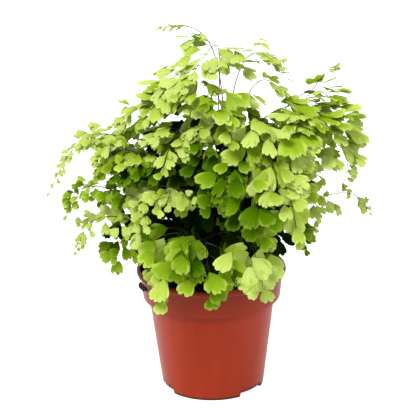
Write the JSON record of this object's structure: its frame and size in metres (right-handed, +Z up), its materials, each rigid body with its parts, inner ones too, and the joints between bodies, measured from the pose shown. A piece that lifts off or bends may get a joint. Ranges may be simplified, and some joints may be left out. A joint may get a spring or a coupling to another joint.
{
  "type": "potted maidenhair fern",
  "caption": "Bushy maidenhair fern with wiry dark stems and small fan-shaped leaflets, growing in soil in a round tapered nursery pot.",
  "frame": {"origin": "on the pot's axis, at the surface that the pot stands on", "axes": "+Z up along the pot's axis; -Y towards the viewer of the plant's best side; +X to that viewer's right"},
  "size_m": [0.2512, 0.1807, 0.2931],
  "materials": {
    "pot": "satin terracotta-coloured plastic",
    "soil": "dark crumbly peat",
    "frond": "thin fresh green leaf, black wiry stem",
    "withered": "dry brown leaf"
  },
  "bodies": {
    "root": {"pot": "pot", "soil": "soil", "frond_left_high": "frond", "frond_left_mid": "frond", "frond_left_low": "frond", "frond_left_under": "frond", "frond_left_upper": "frond", "frond_left_inner": "frond", "frond_crown_left": "frond", "frond_crown_low": "frond", "frond_top_wisp": "frond", "frond_crown_top": "frond", "frond_crown_right": "frond", "frond_crown_fork": "frond", "frond_crown_front": "frond", "frond_right_wisp": "frond", "frond_right_top": "frond", "frond_right_upper": "frond", "frond_right_mid": "frond", "frond_right_low": "frond", "frond_mid_right_a": "frond", "frond_mid_right_b": "frond", "frond_mid_right_c": "frond", "frond_mid_right_d": "frond", "frond_mid_front": "frond", "frond_mid_left_a": "frond", "frond_mid_left_b": "frond", "frond_mid_left_c": "frond", "frond_front_left": "frond", "frond_front_mid": "frond", "frond_front_right": "frond", "frond_side_dark": "frond", "frond_side_pale": "frond", "frond_inner_left": "frond", "frond_inner_back": "frond", "frond_back_left": "frond", "frond_back_high": "frond", "frond_back_mid": "frond", "frond_back_right": "frond", "frond_back_low_left": "frond", "frond_back_low_right": "frond", "frond_withered": "withered"}
  },
  "joints": []
}
